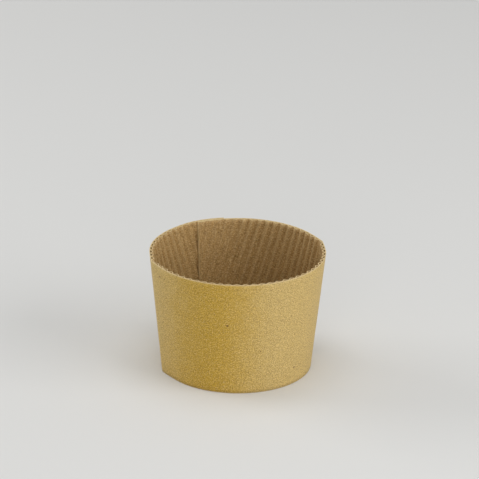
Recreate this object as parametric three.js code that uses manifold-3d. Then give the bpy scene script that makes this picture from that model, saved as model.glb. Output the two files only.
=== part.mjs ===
// Coffee cup sleeve of single-face corrugated board: a smooth liner outside, open flutes inside.
// One die-cut blank is scored twice, wrapped into a cone and glued to itself at the back.
// Millimetres, +Z up. The origin is the centre of the lower edge, and the creases lie towards -X and +X.

import * as THREE from 'three';
import { ConvexGeometry } from 'three/addons/geometries/ConvexGeometry.js';
import { mergeVertices } from 'three/addons/utils/BufferGeometryUtils.js';
import Module from 'manifold-3d';

// Outline of the wrapped sleeve, measured on the outside of the liner
const height = 50;
const upperFaceRadius = 36.3;
const upperShoulderRadius = 90;
const upperShoulderAngle = THREE.MathUtils.degToRad(15);
const lowerFaceRadius = 31.0;
const lowerShoulderRadius = 80;
const lowerShoulderAngle = THREE.MathUtils.degToRad(20);
const creaseRadius = 2.0;

// Board
const linerThickness = 0.3;
const mediumThickness = 0.25;
const flutePitch = 3.45;
const fluteHeight = 1.0;
const glueWidth = 0.7;

// Score line at each crease, where the flutes are pressed
const scoreHalfWidth = 1.8;
const scoreHeightLeft = 0.35;

// Glued lap at the back
const lapWidth = 12;
const lapRise = 13;
const lapHeightLeft = 0.6;
const bondDepth = 0.07;

// Fineness of the facets
const rows = 4;
const facetsPerQuarter = 34;
const wavePoints = 8;
const tunnelWavePoints = 4;
const tunnelStart = 0.24;
const offcutFacetLength = 4;

// Room that the knife keeps around what it trims off the lap's ends
const knifeReach = 6;
const knifeOvershoot = 0.02;

// The blank laid flat is a sector of a ring, and its flutes run parallel to the sector's centre line
const slantHeight = Math.hypot(height, upperFaceRadius - lowerFaceRadius);
const lowerOutline = makeOutline(lowerFaceRadius, lowerShoulderRadius, lowerShoulderAngle);
const upperOutline = makeOutline(upperFaceRadius, upperShoulderRadius, upperShoulderAngle);
const growth = upperOutline.perimeter - lowerOutline.perimeter;
const blankInnerRadius = slantHeight * lowerOutline.perimeter / growth;
const blankOuterRadius = blankInnerRadius + slantHeight;
const blankAngle = upperOutline.perimeter / blankOuterRadius;
const boardThickness = linerThickness + mediumThickness + fluteHeight;

// How far the two lapped ends leave the plain outline: one is pressed inwards, the other rides on it
const innerEndDrop = fluteHeight * (1 - lapHeightLeft);
const lapBoardThickness = boardThickness - innerEndDrop;
const outerEndDrop = innerEndDrop - lapBoardThickness + bondDepth;

// A quarter of the outline is three arcs: the face, its flatter shoulder and half of the rounded crease
function makeOutline(faceRadius, shoulderRadius, shoulderAngle) {
  const lean = (shoulderRadius - faceRadius) / (shoulderRadius - creaseRadius);
  const creaseAngle = Math.asin(lean * Math.sin(shoulderAngle));
  const arcs = [
    { radius: faceRadius, angle: Math.PI / 2 - shoulderAngle },
    { radius: shoulderRadius, angle: shoulderAngle - creaseAngle },
    { radius: creaseRadius, angle: creaseAngle },
  ];
  const quarter = arcs.reduce((sum, { radius, angle }) => sum + radius * angle, 0);
  return { arcs, perimeter: 4 * quarter };
}

// Point and outward direction at a length along a quarter outline, from the middle of a face to the crease
function quarterPoint(outline, length) {
  const centre = new THREE.Vector2();
  let facing = 0;
  let left = length;
  const outwards = () => new THREE.Vector2(Math.sin(facing), -Math.cos(facing));
  for (const [i, { radius, angle }] of outline.arcs.entries()) {
    const last = i === outline.arcs.length - 1;
    if (last || left < radius * angle) {
      facing += left / radius;
      const out = outwards();
      return { point: centre.addScaledVector(out, radius), out };
    }
    facing += angle;
    left -= radius * angle;
    centre.addScaledVector(outwards(), radius - outline.arcs[i + 1].radius);
  }
}

// Point of an edge outline, where share is the part of the way round: 0 front, 0.25 crease, 0.5 back
function edgePoint(outline, share) {
  const behind = share > 0.25 && share < 0.75;
  const pastBack = share > 0.5;
  const folded = pastBack ? 1 - share : share;
  const fromFace = behind ? 0.5 - folded : folded;
  const { point, out } = quarterPoint(outline, fromFace * outline.perimeter);
  const signX = pastBack ? -1 : 1;
  const signY = behind ? -1 : 1;
  point.set(point.x * signX, point.y * signY);
  out.set(out.x * signX, out.y * signY);
  return { point, out };
}

function perimeterAt(level) {
  return THREE.MathUtils.lerp(lowerOutline.perimeter, upperOutline.perimeter, level);
}

// Where the lap's free end is cut, as a part of the way round
function cutShare(level) {
  return 0.5 + lapWidth / 2 / perimeterAt(level);
}

// 0 on the plain board, 1 inside the lap, and a smooth rise before it
function lapShare(share, level) {
  const intoLap = (share - 0.5) * perimeterAt(level) + lapWidth / 2;
  return THREE.MathUtils.smoothstep(intoLap, -lapRise, 0);
}

// Part of the flute height that pressing has left at a place of the board
function heightLeft(share, level) {
  const fromCrease = (share - 0.25) * perimeterAt(level) / scoreHalfWidth;
  const scored = 1 - (1 - scoreHeightLeft) * Math.exp(-fromCrease * fromCrease);
  const lapped = THREE.MathUtils.lerp(1, lapHeightLeft, lapShare(share, level));
  return scored * lapped;
}

// Place on the wrapped board, a depth inwards from the liner's outside
function wrappedPoint(endDrop, share, level, depth) {
  const lower = edgePoint(lowerOutline, share);
  const upper = edgePoint(upperOutline, share);
  const point = lower.point.lerp(upper.point, level);
  const out = lower.out.lerp(upper.out, level).normalize();
  point.addScaledVector(out, -(depth + endDrop * lapShare(share, level)));
  return new THREE.Vector3(point.x, point.y, level * height);
}

// Part of the way round at which a line parallel to the flutes crosses a level
function shareOfLine(distance, level) {
  return Math.asin(distance / (blankInnerRadius + level * slantHeight)) / blankAngle;
}

// A line of points from the lower to the upper edge, placed by a function of the level
function column(place) {
  return Array.from({ length: rows + 1 }, (_, row) => place(row / rows));
}

// A line along one phase of a flute, 0 in a valley and 0.5 on a crest, on one face of the medium
function waveColumn(endDrop, flute, phase, face) {
  const start = (flute + phase) * flutePitch;
  const turn = 2 * Math.PI * phase;
  return column((level) => {
    const travel = fluteHeight * heightLeft(shareOfLine(start, level), level);
    const tilt = Math.atan(Math.PI * travel / flutePitch * Math.sin(turn));
    const middle = linerThickness + (mediumThickness + travel * (1 - Math.cos(turn))) / 2;
    const distance = start - face * mediumThickness / 2 * Math.sin(tilt);
    const depth = middle + face * mediumThickness / 2 * Math.cos(tilt);
    return wrappedPoint(endDrop, shareOfLine(distance, level), level, depth);
  });
}

// A line along the inside of the liner, where the glue beside a flute's tip ends
function glueColumn(endDrop, distance) {
  return column((level) => wrappedPoint(endDrop, shareOfLine(distance, level), level, linerThickness));
}

// The open tunnel between the liner and one wave of the medium
function tunnelColumns(endDrop, flute) {
  const columns = [glueColumn(endDrop, flute * flutePitch + glueWidth / 2)];
  for (let i = 0; i < tunnelWavePoints; i += 1) {
    const phase = THREE.MathUtils.lerp(tunnelStart, 1 - tunnelStart, i / (tunnelWavePoints - 1));
    columns.push(waveColumn(endDrop, flute, phase, -1));
  }
  columns.push(glueColumn(endDrop, (flute + 1) * flutePitch - glueWidth / 2));
  return columns;
}

// The liner's outside: straight lines up the cone, then short ones over what the die cuts off
function linerColumns(endDrop, lineEnd) {
  const step = 0.25 / facetsPerQuarter;
  const offcutLength = (shareOfLine(lineEnd, 0) - cutShare(0)) * lowerOutline.perimeter;
  const offcutFacets = Math.ceil(offcutLength / offcutFacetLength);
  const besideCrease = creaseRadius / 4 / lowerOutline.perimeter;
  const shares = [0.25 - besideCrease, 0.25, 0.25 + besideCrease];
  for (let i = 0; i * step < cutShare(0); i += 1) {
    if (i !== facetsPerQuarter) shares.push(i * step);
  }
  shares.sort((a, b) => a - b);
  const columns = shares.map((share) => [0, 1].map((level) => wrappedPoint(endDrop, share, level, 0)));
  for (let i = 0; i <= offcutFacets; i += 1) {
    columns.push(column((level) => {
      const share = THREE.MathUtils.lerp(cutShare(0), shareOfLine(lineEnd, level), i / offcutFacets);
      return wrappedPoint(endDrop, share, level, 0);
    }));
  }
  return columns;
}

// Triangles between two columns, which may differ in how many points they have
function addStrip(triangles, left, right) {
  let i = 0;
  let j = 0;
  while (i + 1 < left.length || j + 1 < right.length) {
    const climbRight = i + 1 === left.length || (j + 1 < right.length && right[j + 1].z <= left[i + 1].z);
    if (climbRight) {
      triangles.push([left[i], right[j], right[j + 1]]);
      j += 1;
    } else {
      triangles.push([left[i], right[j], left[i + 1]]);
      i += 1;
    }
  }
}

// The cut face at one edge of the board, with the mouths of the tunnels left open
function addCutFace(triangles, border, mouths, facesUp) {
  const points = [border, ...mouths].flat();
  for (const corners of THREE.ShapeUtils.triangulateShape(border, mouths)) {
    const [a, b, c] = corners.map((corner) => points[corner]);
    const turnsLeft = THREE.ShapeUtils.area([a, b, c]) > 0;
    triangles.push(turnsLeft === facesUp ? [a, b, c] : [a, c, b]);
  }
}

// Half of the wrapped blank, from the front's middle through the crease at +X to past the lap
function boardHalf(endDrop, fluteCount) {
  const triangles = [];
  const outside = linerColumns(endDrop, fluteCount * flutePitch);
  const inside = [];
  for (let i = 0; i <= fluteCount * wavePoints; i += 1) {
    inside.push(waveColumn(endDrop, Math.floor(i / wavePoints), (i % wavePoints) / wavePoints, 1));
  }
  const tunnels = Array.from({ length: fluteCount }, (_, flute) => tunnelColumns(endDrop, flute));
  for (let i = 0; i + 1 < outside.length; i += 1) {
    addStrip(triangles, outside[i], outside[i + 1]);
  }
  for (let i = 0; i + 1 < inside.length; i += 1) {
    addStrip(triangles, inside[i + 1], inside[i]);
  }
  for (const tunnel of tunnels) {
    tunnel.forEach((line, i) => addStrip(triangles, line, tunnel[(i + 1) % tunnel.length]));
  }
  addStrip(triangles, inside[0], outside[0]);
  addStrip(triangles, outside.at(-1), inside.at(-1));
  for (const end of [0, -1]) {
    const border = [...outside, ...inside.toReversed()].map((line) => line.at(end));
    const mouths = tunnels.map((tunnel) => tunnel.map((line) => line.at(end)));
    addCutFace(triangles, border, mouths, end === -1);
  }
  return triangles;
}

// The block that the die's knife takes off past the end of the lap, where the offcut may curl inwards
function offcutBlock(endDrop) {
  const corners = [];
  for (const level of [-knifeOvershoot, 1 + knifeOvershoot]) {
    const start = wrappedPoint(endDrop, cutShare(level), level, 0);
    const ahead = wrappedPoint(endDrop, cutShare(level) + 0.001, level, 0);
    const along = ahead.sub(start).setZ(0).normalize();
    const inwards = new THREE.Vector3(-along.y, along.x, 0);
    for (const run of [0, upperFaceRadius + knifeReach]) {
      for (const depth of [-knifeReach, lowerFaceRadius]) {
        corners.push(start.clone().addScaledVector(along, run).addScaledVector(inwards, depth));
      }
    }
  }
  const position = new ConvexGeometry(corners).getAttribute('position');
  const triangles = [];
  for (let i = 0; i < position.count; i += 3) {
    triangles.push([0, 1, 2].map((k) => new THREE.Vector3().fromBufferAttribute(position, i + k)));
  }
  return triangles;
}

const wasm = await Module();
wasm.setup();

// Closed solid from triangles, turned left to right for the half towards -X
function solidFrom(triangles, mirrored) {
  const positions = [];
  for (const [a, b, c] of triangles) {
    for (const corner of mirrored ? [a, c, b] : [a, b, c]) {
      positions.push(mirrored ? -corner.x : corner.x, corner.y, corner.z);
    }
  }
  const geometry = new THREE.BufferGeometry();
  geometry.setAttribute('position', new THREE.Float32BufferAttribute(positions, 3));
  const merged = mergeVertices(geometry, 1e-5);
  const vertProperties = Float32Array.from(merged.getAttribute('position').array);
  const triVerts = Uint32Array.from(merged.index.array);
  return new wasm.Manifold(new wasm.Mesh({ numProp: 3, vertProperties, triVerts }));
}

function geometryFrom(solid) {
  const { vertProperties, triVerts } = solid.getMesh();
  const geometry = new THREE.BufferGeometry();
  geometry.setAttribute('position', new THREE.BufferAttribute(vertProperties, 3));
  geometry.setIndex(new THREE.BufferAttribute(triVerts, 1));
  geometry.computeVertexNormals();
  return geometry;
}

// The half towards +X ends under the lap and the half towards -X on top of it
const flutesToCut = blankOuterRadius * Math.sin(blankAngle * cutShare(0)) / flutePitch;
const fluteCount = Math.ceil(flutesToCut) + 1;
const halves = [
  { endDrop: innerEndDrop, mirrored: false },
  { endDrop: outerEndDrop, mirrored: true },
];
const [underHalf, overHalf] = halves.map(({ endDrop, mirrored }) => {
  const board = solidFrom(boardHalf(endDrop, fluteCount), mirrored);
  return board.subtract(solidFrom(offcutBlock(endDrop), mirrored));
});

const kraft = new THREE.MeshStandardMaterial({ color: 0xb5995a, roughness: 0.92, metalness: 0 });
const sleeve = new THREE.Mesh(geometryFrom(underHalf.add(overHalf)), kraft);
sleeve.name = 'sleeve';

const group = new THREE.Group();
group.name = 'coffee_cup_sleeve';
group.add(sleeve);

export default group;
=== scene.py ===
"""Coffee cup sleeve of single-face corrugated board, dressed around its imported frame.

Two sheets of kraft paper follow one rule: a flat blank with flutes parallel to its centre line is
wrapped round two edge outlines, pressed along two score lines and lapped at the back. The liner is
the smooth outer sheet and the fluting is the waved inner one. Lengths are in metres, +Z is up, and
the creases lie towards -X and +X.
"""

import math

import bpy
from bpy.props import FloatProperty, FloatVectorProperty, IntProperty, PointerProperty
from mathutils import Matrix, Vector


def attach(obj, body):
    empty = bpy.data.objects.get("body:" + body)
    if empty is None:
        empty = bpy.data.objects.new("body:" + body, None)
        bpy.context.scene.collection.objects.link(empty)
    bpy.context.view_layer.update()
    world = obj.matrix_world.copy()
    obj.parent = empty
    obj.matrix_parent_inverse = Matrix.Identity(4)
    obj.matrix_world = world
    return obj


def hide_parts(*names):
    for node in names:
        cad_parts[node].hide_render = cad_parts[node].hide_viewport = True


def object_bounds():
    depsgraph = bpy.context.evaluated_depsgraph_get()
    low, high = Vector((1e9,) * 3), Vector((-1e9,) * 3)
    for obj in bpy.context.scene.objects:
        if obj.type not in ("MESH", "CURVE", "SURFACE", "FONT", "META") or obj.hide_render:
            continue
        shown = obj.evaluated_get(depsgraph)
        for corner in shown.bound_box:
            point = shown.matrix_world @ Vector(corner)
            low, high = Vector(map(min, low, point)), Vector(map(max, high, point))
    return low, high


bl_info = {
    "name": "Corrugated cup sleeve",
    "version": (1, 0, 0),
    "blender": (4, 5, 0),
    "location": "3D View > Sidebar > Sleeve",
    "description": "Builds a wrapped, scored and glued sleeve of single-face corrugated board",
    "category": "Object",
}

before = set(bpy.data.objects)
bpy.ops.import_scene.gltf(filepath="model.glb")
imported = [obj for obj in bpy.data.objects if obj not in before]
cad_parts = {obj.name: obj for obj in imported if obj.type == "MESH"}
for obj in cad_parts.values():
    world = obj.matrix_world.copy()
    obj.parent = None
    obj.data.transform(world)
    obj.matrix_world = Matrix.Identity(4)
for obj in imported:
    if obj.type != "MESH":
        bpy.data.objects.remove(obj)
cad_low, cad_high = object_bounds()

NODE = "sleeve"
BODY = "root"
MM = 0.001


def length(name, description, default):
    """A property that holds a length, given in millimetres and kept in metres."""
    return FloatProperty(
        name=name, description=description, default=default * MM, unit="LENGTH", precision=5)


def lamp_power(name, description, default):
    """A property that holds a lamp's power, in watts."""
    return FloatProperty(name=name, description=description, default=default, unit="POWER")


def colour(name, description, default):
    """A property that holds a colour, given as the screen shows it, from 0 to 255."""
    linear = [screen_to_linear(part / 255) for part in default]
    return FloatVectorProperty(
        name=name, description=description, default=linear, subtype="COLOR", min=0, max=1)


def screen_to_linear(value):
    """The light that a screen value stands for."""
    return value / 12.92 if value <= 0.04045 else ((value + 0.055) / 1.055) ** 2.4


class SleeveShape(bpy.types.PropertyGroup):
    """Outline of the wrapped sleeve, on the outside of the liner."""

    height: length("Height", "Between the two cut edges", 50)
    upper_face: length("Upper face radius", "Midway between the creases, at the wide edge", 36.3)
    upper_shoulder: length("Upper shoulder radius", "Flatter stretch beside a crease", 90)
    upper_shoulder_angle: FloatProperty(
        name="Upper shoulder angle", description="Where the face gives way to the shoulder",
        default=math.radians(15), subtype="ANGLE")
    lower_face: length("Lower face radius", "Midway between the creases, at the narrow edge", 31)
    lower_shoulder: length("Lower shoulder radius", "Flatter stretch beside a crease", 80)
    lower_shoulder_angle: FloatProperty(
        name="Lower shoulder angle", description="Where the face gives way to the shoulder",
        default=math.radians(20), subtype="ANGLE")
    crease: length("Crease radius", "Rounding on the outside of a crease", 2)


class SleeveBoard(bpy.types.PropertyGroup):
    """The single-face board and how pressing changes it."""

    liner: length("Liner thickness", "Smooth outer sheet", 0.3)
    medium: length("Fluting thickness", "Waved inner sheet", 0.25)
    pitch: length("Flute pitch", "From crest to crest in the flat blank", 3.45)
    flute: length("Flute height", "Travel of the waved sheet's middle", 1.0)
    washboard: length("Washboarding", "How far the liner follows the flutes beneath", 0.03)
    score: length("Score half width", "Reach of the pressed line at a crease", 1.8)
    score_left: FloatProperty(
        name="Height left at the score", description="Part of the flute height",
        default=0.35, min=0, max=1)
    lap: length("Lap width", "Overlap of the two ends", 12)
    lap_rise: length("Lap rise", "Length over which an end leaves the plain outline", 13)
    lap_left: FloatProperty(
        name="Height left in the lap", description="Part of the flute height",
        default=0.6, min=0, max=1)
    bond: length("Bond depth", "How far crests sink into the glue of the lap", 0.07)
    steps_per_flute: IntProperty(
        name="Steps per flute", description="Facets along one wave", default=14, min=6)
    steps_up: IntProperty(name="Steps up", description="Facets from edge to edge", default=30, min=4)


class SleevePaper(bpy.types.PropertyGroup):
    """Colours of the uncoated kraft, and of a band of painted shade."""

    liner: colour("Liner", "Outer face between its specks", (186, 158, 93))
    # Painted shade: a deeper, more saturated band down one side of the front, where the light gives the
    # paper no sheen
    painted_shade: colour("Golden band", "Deeper tint down one side of the front", (184, 147, 42))
    band_place: length("Golden band's place", "From the middle of the front, along the blank", -21)
    band_half: length("Golden band's half width", "From its middle to where it has faded out", 27)
    medium: colour("Fluting", "Waved inner sheet", (165, 130, 76))
    cut: colour("Cut edge", "Freshly cut fibres", (224, 201, 152))
    speck: colour("Specks", "Bark and dark fibre bundles", (112, 82, 38))
    seed: IntProperty(name="Seed", description="Chooses where specks and loose fibres fall", default=7)
    fibre_length: length("Fibre length", "Loose fibre at a cut edge", 0.5)
    fibre_radius: length("Fibre radius", "Loose fibre at a cut edge", 0.017)
    fibres_each_mm2: FloatProperty(
        name="Fibres", description="On a square millimetre of cut edge", default=9, min=0)


class SleeveStage(bpy.types.PropertyGroup):
    """Floor and light."""

    floor: colour("Floor", "Plain pale surface", (226, 226, 224))
    floor_size: FloatProperty(
        name="Floor size", description="Side of the floor", default=12, unit="LENGTH")
    key_power: lamp_power("Key", "Large lamp before the sleeve, to the right", 9.0)
    front_power: lamp_power("Front", "Large lamp beside the camera", 3.8)
    fill_power: lamp_power("Fill", "Large lamp behind the sleeve, to the left", 6.0)
    top_power: lamp_power("Top", "Large lamp above, for the inside", 5)
    sky: FloatProperty(name="Sky", description="Light from all round", default=0.36)


class Term:
    """A number that travels through a node tree, usable in Python expressions."""

    def __init__(self, graph, socket):
        self.graph = graph
        self.socket = socket

    def math(self, operation, *others):
        """The result of a Math node of this operation on self and others."""
        return self.graph.maths(operation, self, *others)

    def __add__(self, other):
        return self.math("ADD", other)

    __radd__ = __add__

    def __sub__(self, other):
        return self.math("SUBTRACT", other)

    def __rsub__(self, other):
        return self.graph.maths("SUBTRACT", other, self)

    def __mul__(self, other):
        return self.math("MULTIPLY", other)

    __rmul__ = __mul__

    def __truediv__(self, other):
        return self.math("DIVIDE", other)

    def __neg__(self):
        return self * -1


class Graph:
    """Writes nodes into a geometry or shader tree."""

    def __init__(self, tree):
        self.tree = tree

    def node(self, kind, settings=None, sockets=None):
        """Adds a node: its settings first, then values or links for its inputs, by name or number."""
        made = self.tree.nodes.new(kind)
        for name, value in (settings or {}).items():
            setattr(made, name, value)
        for name, value in (sockets or {}).items():
            if isinstance(value, Term):
                self.tree.links.new(value.socket, made.inputs[name])
            else:
                made.inputs[name].default_value = value
        return made

    def take(self, kind, settings=None, sockets=None, output=0):
        """Adds a node in the same way and gives one of its outputs."""
        return Term(self, self.node(kind, settings, sockets).outputs[output])

    def maths(self, operation, *values):
        """A Math node on numbers and terms."""
        return self.take("ShaderNodeMath", {"operation": operation}, dict(enumerate(values)))

    def step(self, value, start, end, low=0.0, high=1.0):
        """Rises smoothly from low to high while value goes from start to end."""
        return self.take(
            "ShaderNodeMapRange", {"interpolation_type": "SMOOTHSTEP"},
            {"Value": value, "From Min": start, "From Max": end, "To Min": low, "To Max": high})

    def vector(self, x, y, z):
        """Three numbers as one vector."""
        return self.take("ShaderNodeCombineXYZ", None, {"X": x, "Y": y, "Z": z})

    def parts(self, vector):
        """The three numbers of a vector."""
        made = self.node("ShaderNodeSeparateXYZ", None, {0: vector})
        return [Term(self, made.outputs[i]) for i in range(3)]

    def vectors(self, operation, *values):
        """A Vector Math node that gives a vector."""
        return self.take("ShaderNodeVectorMath", {"operation": operation}, dict(enumerate(values)))

    def mix_vectors(self, factor, first, second):
        """first at factor 0 and second at factor 1: a Mix node's inputs 4 and 5 are its vectors."""
        return self.take(
            "ShaderNodeMix", {"data_type": "VECTOR"}, {0: factor, 4: first, 5: second}, output=1)

    def mix_colours(self, factor, first, second, blend="MIX"):
        """first at factor 0 and second, blended in, at factor 1: inputs 6 and 7 are the colours."""
        return self.take(
            "ShaderNodeMix", {"data_type": "RGBA", "blend_type": blend},
            {0: factor, 6: first, 7: second}, output=2)

    def shade(self, colour, tone):
        """A colour, given as a term or as three numbers, with its level multiplied by tone."""
        if not isinstance(colour, Term):
            colour = (*colour, 1)
        return self.mix_colours(1.0, colour, self.vector(tone, tone, tone), "MULTIPLY")


def outline_point(share, face, shoulder, shoulder_angle, crease):
    """A point of an edge outline, and the outline's whole length.

    share is 0 at the middle of the front and 0.25 and 0.75 at the creases.
    """
    lean = (shoulder - face) / (shoulder - crease)
    crease_angle = math.asin(lean * math.sin(shoulder_angle))
    arcs = [
        (face, math.pi / 2 - shoulder_angle),
        (shoulder, shoulder_angle - crease_angle),
        (crease, crease_angle),
    ]
    quarter = sum(radius * angle for radius, angle in arcs)
    turned = 1 - share if share > 0.5 else share
    behind = turned > 0.25
    left = (0.5 - turned if behind else turned) * 4 * quarter
    centre = Vector((0, 0))
    facing = 0.0
    for i, (radius, angle) in enumerate(arcs):
        if left <= radius * angle or i == len(arcs) - 1:
            facing += left / radius
            centre += radius * Vector((math.sin(facing), -math.cos(facing)))
            break
        facing += angle
        left -= radius * angle
        centre += (radius - arcs[i + 1][0]) * Vector((math.sin(facing), -math.cos(facing)))
    x = -centre.x if share > 0.5 else centre.x
    y = -centre.y if behind else centre.y
    return Vector((x, y)), 4 * quarter


class Blank:
    """Sizes of the flat blank, worked out from the wrapped outline."""

    def __init__(self, shape, board):
        self.upper = (shape.upper_face, shape.upper_shoulder, shape.upper_shoulder_angle, shape.crease)
        self.lower = (shape.lower_face, shape.lower_shoulder, shape.lower_shoulder_angle, shape.crease)
        self.height = shape.height
        self.slant = math.hypot(shape.height, shape.upper_face - shape.lower_face)
        self.upper_round = outline_point(0, *self.upper)[1]
        self.lower_round = outline_point(0, *self.lower)[1]
        self.inner_radius = self.slant * self.lower_round / (self.upper_round - self.lower_round)
        self.angle = self.upper_round / (self.inner_radius + self.slant)
        self.under_drop = board.flute * (1 - board.lap_left)
        lapped = board.liner + board.medium + board.flute - self.under_drop
        self.over_drop = self.under_drop - lapped + board.bond


def outline_curve(name, sizes, points=1440):
    """A closed curve along an edge outline, at height 0, with its points evenly spaced."""
    data = bpy.data.curves.new(name, "CURVE")
    data.dimensions = "3D"
    spline = data.splines.new("POLY")
    spline.points.add(points - 1)
    for i, point in enumerate(spline.points):
        place, _ = outline_point(i / points, *sizes)
        point.co = (place.x, place.y, 0, 1)
    spline.use_cyclic_u = True
    made = bpy.data.objects.new(name, data)
    bpy.context.scene.collection.objects.link(made)
    return made


def new_rule(name, rows):
    """Starts a Geometry Nodes tree: its graph, its inputs as terms, and their identifiers, by name."""
    tree = bpy.data.node_groups.new(name, "GeometryNodeTree")
    identifiers = {}
    for row, kind in rows:
        socket = tree.interface.new_socket(row, in_out="INPUT", socket_type="NodeSocket" + kind)
        identifiers[row] = socket.identifier
    tree.interface.new_socket("Geometry", in_out="OUTPUT", socket_type="NodeSocketGeometry")
    g = Graph(tree)
    given = g.node("NodeGroupInput")
    value = {row: Term(g, given.outputs[row]) for row, _ in rows}
    return g, value, identifiers


def finish_rule(g, body, paper):
    """Ends a tree with its copies made real and its material set."""
    body = g.take("GeometryNodeRealizeInstances", None, {"Geometry": body})
    body = g.take("GeometryNodeSetMaterial", None, {"Geometry": body, "Material": paper})
    g.node("NodeGroupOutput", None, {"Geometry": body})


SHEET_INPUTS = [
    ("Lower outline", "Object"), ("Upper outline", "Object"), ("Steps round", "Int"),
    ("Steps up", "Int"), ("Height", "Float"), ("Slant", "Float"), ("Lower round", "Float"),
    ("Upper round", "Float"), ("Inner radius", "Float"), ("Blank angle", "Float"),
    ("Thickness", "Float"), ("Valley", "Float"), ("Wave", "Float"), ("Washboard", "Float"),
    ("Pitch", "Float"), ("Score", "Float"), ("Score left", "Float"), ("Lap", "Float"),
    ("Lap rise", "Float"), ("Lap left", "Float"), ("Under drop", "Float"), ("Over drop", "Float"),
    ("Paper", "Material"),
]


def sheet_tree():
    """The rule that both sheets follow, from a fine slab to the wrapped, scored and lapped board."""
    g, value, identifiers = new_rule("wrapped_sheet", SHEET_INPUTS)

    # The slab: along and up run from -0.5 to 0.5, and face is 1 on the side that turns inwards
    slab = g.take("GeometryNodeMeshCube", None, {
        "Size": (1, 1, 1), "Vertices X": value["Steps round"], "Vertices Y": value["Steps up"],
        "Vertices Z": 2})
    along, up, side = g.parts(g.take("GeometryNodeInputPosition"))
    level = up + 0.5
    face = side * 2

    # Its place on the flat blank, with the lap's half at either end
    round_length = value["Lower round"] + (value["Upper round"] - value["Lower round"]) * level
    share = along * (1 + value["Lap"] / round_length)
    reach = value["Inner radius"] + value["Slant"] * level
    across = reach * g.maths("SINE", share * value["Blank angle"])

    # The wave across the blank, lower at the creases and in the lap
    from_crease = (share.math("ABSOLUTE") - 0.25) * round_length
    nearness = g.maths("EXPONENT", -((from_crease / value["Score"]).math("POWER", 2)))
    scored = 1 - (1 - value["Score left"]) * nearness
    lapped = lap_share(g, share, round_length, value)
    travel = value["Wave"] * scored * (1 - (1 - value["Lap left"]) * lapped)
    turn = across * math.tau / value["Pitch"]
    tilt = (travel * math.pi / value["Pitch"] * turn.math("SINE")).math("ARCTANGENT")
    half = face * value["Thickness"] / 2
    shifted = across - half * tilt.math("SINE")
    wave = (travel - value["Washboard"]) * (1 - turn.math("COSINE")) / 2
    depth = value["Valley"] + wave + half * tilt.math("COSINE")

    # Its place on the wrapped sleeve, below the outline by its depth in the board
    place = (shifted / reach).math("ARCSINE") / value["Blank angle"]
    is_over = g.maths("LESS_THAN", place, 0)
    drop = value["Under drop"] + (value["Over drop"] - value["Under drop"]) * is_over
    drop = drop * lap_share(g, place, round_length, value)
    spot, facing = wrapped_place(g, value, place, level)
    x, y, _ = g.parts(spot)
    out_x, out_y, _ = g.parts(facing)
    inwards = depth + drop
    target = g.vector(x - out_x * inwards, y - out_y * inwards, level * value["Height"])

    # What the paper's material reads: cut faces, distance from a cut or a crease, place on the blank
    slab_normal = g.parts(g.take("GeometryNodeInputNormal"))[2]
    is_cut = g.maths("LESS_THAN", slab_normal.math("ABSOLUTE"), 0.5)
    to_edge = g.maths("MINIMUM", level, 1 - level) * value["Slant"]
    to_end = (0.5 - share.math("ABSOLUTE")) * round_length + value["Lap"] / 2
    margin = g.maths("MINIMUM", to_edge, to_end)
    body = store(g, slab, "cut", "FLOAT", "FACE", is_cut)
    body = store(g, body, "margin", "FLOAT", "POINT", margin)
    body = store(g, body, "fold", "FLOAT", "POINT", from_crease)
    on_blank = g.vector(shifted, level * value["Slant"], depth)
    body = store(g, body, "blank", "FLOAT_VECTOR", "POINT", on_blank)

    # Wrapping turns the slab's outside in, so its faces are flipped
    body = g.take("GeometryNodeSetPosition", None, {"Geometry": body, "Position": target})
    body = g.take("GeometryNodeFlipFaces", None, {"Mesh": body})
    is_sheet = 1 - kept(g, "cut")
    body = g.take(
        "GeometryNodeSetShadeSmooth", {"domain": "FACE"}, {"Geometry": body, "Shade Smooth": is_sheet})
    finish_rule(g, body, value["Paper"])
    return g.tree, identifiers


def lap_share(g, share, round_length, value):
    """0 on the plain board, 1 inside the lap."""
    into_lap = (share.math("ABSOLUTE") - 0.5) * round_length + value["Lap"] / 2
    return g.step(into_lap, -value["Lap rise"], 0.0)


def wrapped_place(g, value, share, level):
    """Where a part of the way round falls on the liner's outside, and the outward direction there."""
    factor = share.math("FRACT")
    samples = []
    for name in ("Lower outline", "Upper outline"):
        info = g.node("GeometryNodeObjectInfo", None, {"Object": value[name]})
        sampled = g.node(
            "GeometryNodeSampleCurve", {"mode": "FACTOR"},
            {"Curves": Term(g, info.outputs["Geometry"]), "Factor": factor})
        samples.append((Term(g, sampled.outputs["Position"]), Term(g, sampled.outputs["Tangent"])))
    (low_spot, low_run), (high_spot, high_run) = samples
    spot = g.mix_vectors(level, low_spot, high_spot)
    run_x, run_y, _ = g.parts(g.vectors("NORMALIZE", g.mix_vectors(level, low_run, high_run)))
    return spot, g.vector(run_y, -run_x, 0.0)


def store(g, geometry, name, kind, domain, value):
    """Keeps a value on the mesh under a name, for the paper's material."""
    return g.take(
        "GeometryNodeStoreNamedAttribute", {"data_type": kind, "domain": domain},
        {"Geometry": geometry, "Name": name, "Value": value})


def kept(g, name):
    """A number that was kept on the mesh, in a geometry tree."""
    return g.take("GeometryNodeInputNamedAttribute", {"data_type": "FLOAT"}, {"Name": name})


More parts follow.
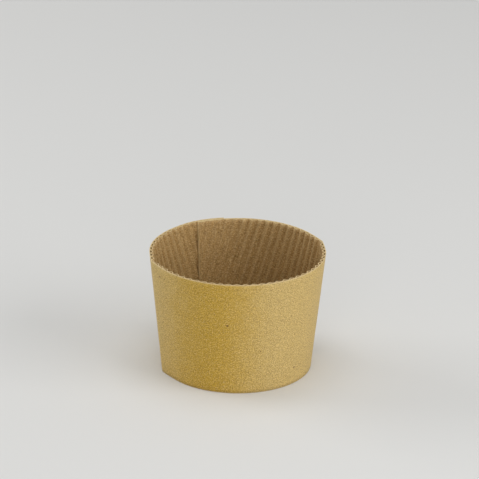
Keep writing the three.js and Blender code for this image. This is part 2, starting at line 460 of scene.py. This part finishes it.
def plain_mesh(name, tree, identifiers, values):
    """Runs a geometry tree with these inputs and keeps its result as a plain mesh object."""
    carrier = bpy.data.objects.new(name + "_carrier", bpy.data.meshes.new(name + "_carrier"))
    bpy.context.scene.collection.objects.link(carrier)
    modifier = carrier.modifiers.new("rule", "NODES")
    modifier.node_group = tree
    for key, value in values.items():
        modifier[identifiers[key]] = value
    carrier.update_tag()
    bpy.context.view_layer.update()
    depsgraph = bpy.context.evaluated_depsgraph_get()
    mesh = bpy.data.meshes.new_from_object(carrier.evaluated_get(depsgraph))
    bpy.data.objects.remove(carrier)
    if not mesh.polygons:
        raise RuntimeError(f"the rule made no faces for {name}")
    mesh.name = name
    made = bpy.data.objects.new(name, mesh)
    bpy.context.scene.collection.objects.link(made)
    return made


def join_frame(piece):
    """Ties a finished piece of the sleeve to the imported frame."""
    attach(piece, BODY)
    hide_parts(NODE)


def new_material(name):
    """An empty material and the graph of its nodes."""
    material = bpy.data.materials.new(name)
    material.use_nodes = True
    material.node_tree.nodes.clear()
    return material, Graph(material.node_tree)


def attribute(g, name, output):
    """A value that the sheet's rule kept on the mesh."""
    return g.take("ShaderNodeAttribute", {"attribute_name": name}, None, output=output)


def noise(g, place, scale, detail, roughness=0.5, output="Fac"):
    """Cloudy noise, with about scale clouds in a unit of place."""
    return g.take(
        "ShaderNodeTexNoise", None,
        {"Vector": place, "Scale": scale, "Detail": detail, "Roughness": roughness}, output=output)


# Noise in the paper: clouds in a millimetre, detail, roughness, and how far the tone swings with it
FIBRE = (1.0, 4, 0.62, 0.35)
GRAIN = (2.1, 2, 0.75, 1.4)
MOTTLE = (0.9, 2, 0.6, 0.3)
CLOUDS = (0.16, 3, 0.55, 0.12)
CRUMB_SIZE = 0.3
CRUMB_SWING = 0.34

# Fibres lie along the blank, so their noise is squeezed across it, and it wanders by the bend.
# Strands are longer clouds in the same bent place. The last two are noises without a swing
FIBRE_SQUEEZE = (0.45, 4.2, 1.5)
FIBRE_BEND = (0.8, 1.6, 0.4)
STRAND_SQUEEZE = (0.5, 1.9, 1.0)
BEND_NOISE = (0.5, 2)
STRAND_NOISE = (1.0, 2)

# Strands and grain: the noise where they begin to show and where they show in full, and then how far
# the tone moves, or how much of the colour of the cut edge or of the specks shows
PALE_STRAND = (0.6, 0.72, 0.07)
DARK_STRAND = (0.4, 0.29, -0.09)
PALE_GRAIN = (0.5, 0.68, 0.5)
DARK_GRAIN = (0.43, 0.29, 0.6)

# Specks, in millimetres: the side of the cells that may hold one, the share of them that does, the
# largest radius, how the pattern is squeezed, and how much of the speck's colour shows
BARK = (3.5, 0.12, 0.68, (1, 1, 1), 0.9)
DARK_BUNDLES = (1.0, 0.45, 0.3, (0.8, 1.2, 1), 0.62)
PALE_BUNDLES = (1.0, 0.4, 0.26, (0.6, 1.4, 1), 0.45)

# The smallest speck as a part of the largest, the evenly coloured middle as a part of a speck's own
# radius, and how far one step of the seed moves the pattern
SMALLEST_SPECK = 0.45
SPECK_MIDDLE = 0.55
SEED_SHIFT = Vector((3.7, 1.9, 0.8))

# Wear, in millimetres: how far it reaches from a cut edge or a crease line, how ragged it is, and how
# much of the cut edge's colour shows where it is full, which is this near
RUBBED_EDGE = (0.45, 0.5, 0.35)
WORN_CREASE = (0.5, 0.6, 0.22)
FULL_WEAR = 0.05

# The fade of the band of painted shade, in millimetres: how far the clouds and the mottle move it, and
# where the band is full. A millimetre on its left counts as a part of one, so that it reaches further
# there
BAND_RAGGED = (12, 10)
BAND_FULL = 1.0
BAND_LEFT = 0.72

# How deep in the board the wave's inner crests begin to be paler and where they are palest
CREST_DEPTH = (0.9, 1.5)

# The cut edge: its noise, its darkest tone and the swing above that
CUT_NOISE = (6.0, 3, 0.7)
CUT_DARKEST = 0.8
CUT_SWING = 0.4

# The paper's relief: the parts that fibres, grain and strands have in it, and the bump that shows it
FIBRE_RELIEF = 0.6
GRAIN_RELIEF = 0.5
STRAND_RELIEF = 0.3
BUMP_STRENGTH = 0.35
BUMP_HEIGHT = 0.04

# The roughness of plain paper, its swing with the grain, and what a cut edge and a crease add to it
ROUGH_PAPER = 0.62
ROUGH_SWING = 0.16
ROUGHER_CUT = 0.25
ROUGHER_CREASE = 0.1


def specks(g, place, kind, seed):
    """How much of a speck's colour shows: small round specks in some of the cells of a pattern."""
    cell, share, radius, squeeze, strength = kind
    moved = g.vectors("ADD", g.vectors("MULTIPLY", place, squeeze), SEED_SHIFT * seed)
    found = g.node(
        "ShaderNodeTexVoronoi", {"voronoi_dimensions": "3D"}, {"Vector": moved, "Scale": 1 / cell})
    red, green, _ = g.parts(Term(g, found.outputs["Color"]))
    distance = Term(g, found.outputs["Distance"]) * cell
    chosen = g.maths("LESS_THAN", red, share)
    size = radius * (SMALLEST_SPECK + (1 - SMALLEST_SPECK) * green)
    return chosen * g.step(distance / size, 1.0, SPECK_MIDDLE) * strength


def crumb_tone(g, place, size):
    """A level from 0 to 1 for each small crumb of pulp, about size across, in the units of place."""
    return g.parts(g.take(
        "ShaderNodeTexVoronoi", {"voronoi_dimensions": "3D"}, {"Vector": place, "Scale": 1 / size},
        output="Color"))[0]


def showing(g, level, kind):
    """How strongly a strand, or pale or dark grain, shows where its noise has this level."""
    start, full, strength = kind
    return g.step(level, start, full) * strength


def wear(g, distance, raggedness, kind):
    """1 right beside a cut edge or a crease line, and 0 beyond the reach of its wear."""
    reach, swing, _ = kind
    return g.step(distance + (raggedness - 0.5) * swing, reach, FULL_WEAR)


def paper_tone(g, fibre, strands, grain, mottle, clouds, crumbs):
    """The paper's level, about 1: its noise, its crumbs and its pale and dark strands."""
    tone = 1 + showing(g, strands, PALE_STRAND) + showing(g, strands, DARK_STRAND)
    for level, (*_, swing) in ((fibre, FIBRE), (grain, GRAIN), (mottle, MOTTLE), (clouds, CLOUDS)):
        tone = tone + (level - 0.5) * swing
    return tone + (crumbs - 0.5) * CRUMB_SWING


def painted_shade_band(g, papers, place, mottle, clouds):
    """1 in the middle of the band of painted shade, with a ragged fade that is longer on its left."""
    past = g.parts(place)[0] - papers.band_place / MM
    by_clouds, by_mottle = BAND_RAGGED
    ragged = (clouds - 0.5) * by_clouds + (mottle - 0.5) * by_mottle
    from_middle = g.maths("MAXIMUM", past, past * -BAND_LEFT) + ragged
    return g.step(from_middle, papers.band_half / MM, BAND_FULL)


def paper_material(name, base, papers, painted_shade_share, depth_share):
    """Uncoated kraft: fibres, clouds, grain, specks, pale cut edges, a worn crease line and a band of
    painted shade.

    The first share is how much of the band of painted shade shows, and depth_share how much paler the
    paper gets towards the wave's inner crests.
    """
    material, g = new_material(name)
    blank = attribute(g, "blank", "Vector")
    place = g.take("ShaderNodeVectorMath", {"operation": "SCALE"}, {0: blank, "Scale": 1 / MM})
    cut = attribute(g, "cut", "Fac")
    margin = attribute(g, "margin", "Fac") * (1 / MM)
    fold = attribute(g, "fold", "Fac") * (1 / MM)

    bend = g.vectors("MULTIPLY", noise(g, place, *BEND_NOISE, output="Color"), FIBRE_BEND)
    bent = g.vectors("ADD", g.vectors("MULTIPLY", place, FIBRE_SQUEEZE), bend)
    fibre = noise(g, bent, *FIBRE[:3])
    strands = noise(g, g.vectors("MULTIPLY", bent, STRAND_SQUEEZE), *STRAND_NOISE)
    grain, mottle, clouds = (noise(g, place, *layer[:3]) for layer in (GRAIN, MOTTLE, CLOUDS))
    tone = paper_tone(g, fibre, strands, grain, mottle, clouds, crumb_tone(g, place, CRUMB_SIZE))

    # Painted shade: a deeper, more saturated band down one side of the liner's front
    painted_shade = painted_shade_band(g, papers, place, mottle, clouds) * painted_shade_share
    rub = wear(g, margin, grain, RUBBED_EDGE)
    crease = wear(g, fold.math("ABSOLUTE"), fibre, WORN_CREASE)
    depth = g.parts(place)[2]
    layers = [
        (showing(g, grain, PALE_GRAIN), papers.cut),
        (showing(g, grain, DARK_GRAIN), papers.speck),
        (specks(g, place, DARK_BUNDLES, papers.seed + 1), papers.speck),
        (specks(g, place, PALE_BUNDLES, papers.seed + 2), papers.cut),
        (specks(g, place, BARK, papers.seed), papers.speck),
        (rub * RUBBED_EDGE[-1], papers.cut),
        (crease * WORN_CREASE[-1], papers.cut),
        (g.step(depth, *CREST_DEPTH) * depth_share, papers.cut),
    ]
    paper = g.shade(g.mix_colours(painted_shade, (*base, 1), (*papers.painted_shade, 1)), tone)
    for amount, hue in layers:
        paper = g.mix_colours(amount, paper, (*hue, 1))
    edge = g.shade(papers.cut, CUT_DARKEST + noise(g, place, *CUT_NOISE) * CUT_SWING)

    relief = fibre * FIBRE_RELIEF + grain * GRAIN_RELIEF + strands * STRAND_RELIEF
    bump = g.take("ShaderNodeBump", None, {
        "Strength": BUMP_STRENGTH, "Distance": BUMP_HEIGHT * MM, "Height": relief})
    rough = ROUGH_PAPER + (grain - 0.5) * ROUGH_SWING + cut * ROUGHER_CUT + crease * ROUGHER_CREASE
    shader = g.take("ShaderNodeBsdfPrincipled", None, {
        "Base Color": g.mix_colours(cut, paper, edge), "Roughness": rough,
        "Metallic": 0.0, "IOR": 1.45, "Normal": bump})
    g.node("ShaderNodeOutputMaterial", None, {"Surface": shader})
    return material


def sheet_values(board, blank, lower, upper):
    """The inputs that both sheets share."""
    return {
        "Lower outline": lower, "Upper outline": upper, "Steps up": board.steps_up + 1,
        "Height": blank.height, "Slant": blank.slant, "Lower round": blank.lower_round,
        "Upper round": blank.upper_round, "Inner radius": blank.inner_radius, "Blank angle": blank.angle,
        "Pitch": board.pitch, "Score": board.score, "Score left": board.score_left, "Lap": board.lap,
        "Lap rise": board.lap_rise, "Lap left": board.lap_left, "Under drop": blank.under_drop,
        "Over drop": blank.over_drop,
    }


def build_sheet(name, steps_per_flute, material, **own):
    """Makes one of the two sheets as a piece on the frame."""
    scene = bpy.context.scene
    board = scene.sleeve_board
    blank = Blank(scene.sleeve_shape, board)
    outlines = [outline_curve("lower_outline", blank.lower), outline_curve("upper_outline", blank.upper)]
    widest = 2 * (blank.inner_radius + blank.slant) * math.sin(blank.angle / 2)
    values = sheet_values(board, blank, *outlines)
    values["Steps round"] = round(widest / board.pitch * steps_per_flute) + 1
    values["Paper"] = material
    values.update(own)
    tree, identifiers = sheet_tree()
    piece = plain_mesh(name, tree, identifiers, values)
    for outline in outlines:
        bpy.data.objects.remove(outline)
    join_frame(piece)


FIBRE_INPUTS = [
    ("Liner", "Object"), ("Fluting", "Object"), ("Density", "Float"), ("Length", "Float"),
    ("Radius", "Float"), ("Seed", "Int"), ("Paper", "Material"),
]

# A loose fibre, in parts of its length: how deep its root sits, how high it bends, and how far its tip
# reaches sideways and up. No fibre stands nearer to the floor than some lengths
ROOT_DEPTH = 0.1
BEND_HEIGHT = 0.4
TIP_REACH = 0.45
TIP_HEIGHT = 0.55
FLOOR_CLEARANCE = 4

# How far fibres lean about each axis, in radians, and the smallest as a part of the largest
MOST_LEAN = Vector((1.1, 1.1, 3.1))
SMALLEST_FIBRE = 0.35


def fibre_tree():
    """Short bent fibres that stand out of the cut edges, but not of the edge that rests on the floor."""
    g, value, identifiers = new_rule("loose_fibres", FIBRE_INPUTS)
    joined = g.node("GeometryNodeJoinGeometry")
    for name in ("Liner", "Fluting"):
        info = g.node("GeometryNodeObjectInfo", None, {"Object": value[name]})
        g.tree.links.new(info.outputs["Geometry"], joined.inputs[0])
    reach = value["Length"]
    height = g.parts(g.take("GeometryNodeInputPosition"))[2]
    off_floor = g.maths("GREATER_THAN", height, reach * FLOOR_CLEARANCE)
    spread = g.node("GeometryNodeDistributePointsOnFaces", None, {
        "Mesh": Term(g, joined.outputs[0]), "Selection": kept(g, "cut") * off_floor,
        "Density": value["Density"], "Seed": value["Seed"]})

    spine = g.take("GeometryNodeCurveQuadraticBezier", None, {
        "Resolution": 3, "Start": g.vector(0.0, 0.0, reach * -ROOT_DEPTH),
        "Middle": g.vector(0.0, 0.0, reach * BEND_HEIGHT),
        "End": g.vector(reach * TIP_REACH, 0.0, reach * TIP_HEIGHT)})
    section = g.take(
        "GeometryNodeCurvePrimitiveCircle", None, {"Resolution": 3, "Radius": value["Radius"]})
    fibre = g.take(
        "GeometryNodeCurveToMesh", None, {"Curve": spine, "Profile Curve": section, "Fill Caps": True})

    # A Random Value node's inputs: 0 and 1 bound its vectors, 2 and 3 its numbers, 8 is the seed
    lean = g.take(
        "FunctionNodeRandomValue", {"data_type": "FLOAT_VECTOR"},
        {0: -MOST_LEAN, 1: MOST_LEAN, 8: value["Seed"]})
    turned = g.take("FunctionNodeRotateRotation", {"rotation_space": "LOCAL"}, {
        "Rotation": Term(g, spread.outputs["Rotation"]), "Rotate By": lean})
    size = g.take(
        "FunctionNodeRandomValue", {"data_type": "FLOAT"},
        {2: SMALLEST_FIBRE, 3: 1.0, 8: value["Seed"] + 1}, output=1)
    body = g.take("GeometryNodeInstanceOnPoints", None, {
        "Points": Term(g, spread.outputs["Points"]), "Instance": fibre,
        "Rotation": turned, "Scale": size})
    finish_rule(g, body, value["Paper"])
    return g.tree, identifiers


def clouded_material(name, base, rough, clouds, detail, darkest, swing):
    """One colour with a little noise in its level: clouds in a metre, darkest level, swing above it."""
    material, g = new_material(name)
    place = g.take("ShaderNodeTexCoord", None, None, output="Object")
    tinted = g.shade(base, darkest + noise(g, place, clouds, detail) * swing)
    shader = g.take("ShaderNodeBsdfPrincipled", None, {"Base Color": tinted, "Roughness": rough})
    g.node("ShaderNodeOutputMaterial", None, {"Surface": shader})
    return material


class SLEEVE_OT_liner(bpy.types.Operator):
    """Make the smooth outer sheet"""

    bl_idname = "sleeve.add_liner"
    bl_label = "Add liner"

    def execute(self, context):
        board, papers = context.scene.sleeve_board, context.scene.sleeve_paper
        # The liner carries the band of painted shade in full
        material = paper_material("kraft_liner", papers.liner, papers, painted_shade_share=1.0, depth_share=0.0)
        build_sheet(
            "liner", board.steps_per_flute // 2, material,
            Thickness=board.liner, Valley=board.liner / 2, Wave=0.0, Washboard=board.washboard)
        return {"FINISHED"}


class SLEEVE_OT_fluting(bpy.types.Operator):
    """Make the waved inner sheet"""

    bl_idname = "sleeve.add_fluting"
    bl_label = "Add fluting"

    def execute(self, context):
        board, papers = context.scene.sleeve_board, context.scene.sleeve_paper
        material = paper_material(
            "kraft_fluting", papers.medium, papers, painted_shade_share=0.0, depth_share=0.12)
        build_sheet(
            "fluting", board.steps_per_flute, material,
            Thickness=board.medium, Valley=board.liner + board.medium / 2,
            Wave=board.flute, Washboard=0.0)
        return {"FINISHED"}


class SLEEVE_OT_fibres(bpy.types.Operator):
    """Make the loose fibres at the cut edges"""

    bl_idname = "sleeve.add_fibres"
    bl_label = "Add edge fibres"

    def execute(self, context):
        papers = context.scene.sleeve_paper
        tree, identifiers = fibre_tree()
        material = clouded_material(
            "loose_fibre", papers.cut, rough=0.9, clouds=1.2 / MM, detail=2, darkest=0.55, swing=0.8)
        piece = plain_mesh("edge_fibres", tree, identifiers, {
            "Liner": bpy.data.objects["liner"], "Fluting": bpy.data.objects["fluting"],
            "Density": papers.fibres_each_mm2 / MM ** 2, "Length": papers.fibre_length,
            "Radius": papers.fibre_radius, "Seed": papers.seed, "Paper": material})
        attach(piece, BODY)
        return {"FINISHED"}


# Where the lamps stand round the sleeve and their sides, in degrees and metres, the point that they
# look at, and how far the floor lies below the sleeve
KEY_AZIMUTH, FRONT_AZIMUTH, FILL_AZIMUTH = 46, -19, -129
KEY_SIDE, FRONT_SIDE, FILL_SIDE, TOP_SIDE = 1.0, 0.8, 0.8, 1.0
LAMP_ELEVATION = 20
LAMP_DISTANCE = 1.3
TOP_HEIGHT = 1.4
SLEEVE_MIDDLE = Vector((0, 0, cad_high.z / 2))
FLOOR_GAP = 0.05 * MM


def area_lamp(name, power, side, place):
    """A square lamp that looks at the sleeve."""
    data = bpy.data.lights.new(name, "AREA")
    data.energy = power
    data.size = side
    lamp = bpy.data.objects.new(name, data)
    lamp.location = place
    lamp.rotation_euler = (SLEEVE_MIDDLE - place).to_track_quat("-Z", "Y").to_euler()
    bpy.context.scene.collection.objects.link(lamp)


def around(azimuth):
    """A lamp's place round the sleeve: azimuth 0 is towards -Y, growing towards +X."""
    a, e = math.radians(azimuth), math.radians(LAMP_ELEVATION)
    return Vector((math.sin(a) * math.cos(e), -math.cos(a) * math.cos(e), math.sin(e))) * LAMP_DISTANCE


# The photograph's camera, solved for an upright sleeve that is turned on its axis, in degrees,
# millimetres and pixels
PHOTO_SIDE = 479
PHOTO_FOCAL = 3710.5
PHOTO_SHIFT = (-0.55, 0.55)
PHOTO_PITCH = 22.46
PHOTO_ROLL = -0.78
PHOTO_PLACE = (0.90, -1407.1, 636.6)
SLEEVE_TURN = -19
SENSOR_WIDTH = 36


def photo_camera():
    """The camera at the photograph's place, turned round the sleeve so that the creases lie along X."""
    pitch, roll = math.radians(PHOTO_PITCH), math.radians(PHOTO_ROLL)
    sideways = Vector((1, 0, 0))
    ahead = Vector((0, math.cos(pitch), -math.sin(pitch)))
    down = Vector((0, -math.sin(pitch), -math.cos(pitch)))
    right = math.cos(roll) * sideways + math.sin(roll) * down
    below = -math.sin(roll) * sideways + math.cos(roll) * down
    axes = Matrix((right, -below, -ahead)).transposed().to_4x4()
    place = Matrix.Translation(Vector(PHOTO_PLACE) * MM)
    turned = Matrix.Rotation(math.radians(SLEEVE_TURN), 4, "Z")
    data = bpy.data.cameras.new("photo_camera")
    data.sensor_width = SENSOR_WIDTH
    data.lens = SENSOR_WIDTH * PHOTO_FOCAL / PHOTO_SIDE
    data.clip_start = 0.05
    data.clip_end = 50
    data.shift_x = PHOTO_SHIFT[0] / PHOTO_SIDE
    data.shift_y = PHOTO_SHIFT[1] / PHOTO_SIDE
    camera = bpy.data.objects.new("photo_camera", data)
    camera.matrix_world = turned @ place @ axes
    bpy.context.scene.collection.objects.link(camera)
    bpy.context.scene.camera = camera


class SLEEVE_OT_stage(bpy.types.Operator):
    """Make the floor, the lamps and the camera"""

    bl_idname = "sleeve.add_stage"
    bl_label = "Add stage"

    def execute(self, context):
        stage = context.scene.sleeve_stage
        half = stage.floor_size / 2
        mesh = bpy.data.meshes.new("floor")
        corners = [(-half, -half, 0), (half, -half, 0), (half, half, 0), (-half, half, 0)]
        mesh.from_pydata(corners, [], [(0, 1, 2, 3)])
        floor = bpy.data.objects.new("floor", mesh)
        floor.location.z = cad_low.z - FLOOR_GAP
        mesh.materials.append(clouded_material(
            "pale_floor", stage.floor, rough=0.8, clouds=3.0, detail=3, darkest=0.985, swing=0.03))
        context.scene.collection.objects.link(floor)
        area_lamp("key", stage.key_power, KEY_SIDE, around(KEY_AZIMUTH))
        area_lamp("front", stage.front_power, FRONT_SIDE, around(FRONT_AZIMUTH))
        area_lamp("fill", stage.fill_power, FILL_SIDE, around(FILL_AZIMUTH))
        area_lamp("top", stage.top_power, TOP_SIDE, Vector((0, 0, TOP_HEIGHT)))
        world = bpy.data.worlds.new("soft_room")
        world.use_nodes = True
        background = world.node_tree.nodes["Background"]
        background.inputs["Color"].default_value = (1, 1, 1, 1)
        background.inputs["Strength"].default_value = stage.sky
        context.scene.world = world
        context.scene.view_settings.view_transform = "Standard"
        photo_camera()
        return {"FINISHED"}


class SLEEVE_PT_panel(bpy.types.Panel):
    """Lists the sleeve's pieces and sizes"""

    bl_label = "Cup sleeve"
    bl_idname = "SLEEVE_PT_panel"
    bl_space_type = "VIEW_3D"
    bl_region_type = "UI"
    bl_category = "Sleeve"

    def draw(self, context):
        for operator in OPERATORS:
            self.layout.operator(operator.bl_idname)
        for name in GROUPS:
            group = getattr(context.scene, name)
            box = self.layout.box()
            for key in group.__annotations__:
                box.prop(group, key)


GROUPS = {
    "sleeve_shape": SleeveShape,
    "sleeve_board": SleeveBoard,
    "sleeve_paper": SleevePaper,
    "sleeve_stage": SleeveStage,
}
OPERATORS = (SLEEVE_OT_liner, SLEEVE_OT_fluting, SLEEVE_OT_fibres, SLEEVE_OT_stage)


def register():
    """Makes the classes and the scene's settings known to Blender."""
    for made in (*GROUPS.values(), *OPERATORS, SLEEVE_PT_panel):
        bpy.utils.register_class(made)
    for name, group in GROUPS.items():
        setattr(bpy.types.Scene, name, PointerProperty(type=group))


def unregister():
    """Takes them away again."""
    for name in GROUPS:
        delattr(bpy.types.Scene, name)
    for made in (SLEEVE_PT_panel, *reversed(OPERATORS), *reversed(list(GROUPS.values()))):
        bpy.utils.unregister_class(made)


def main():
    """Builds the sleeve and its stage."""
    register()
    bpy.ops.sleeve.add_liner()
    bpy.ops.sleeve.add_fluting()
    bpy.ops.sleeve.add_fibres()
    bpy.ops.sleeve.add_stage()


if __name__ == "__main__":
    main()
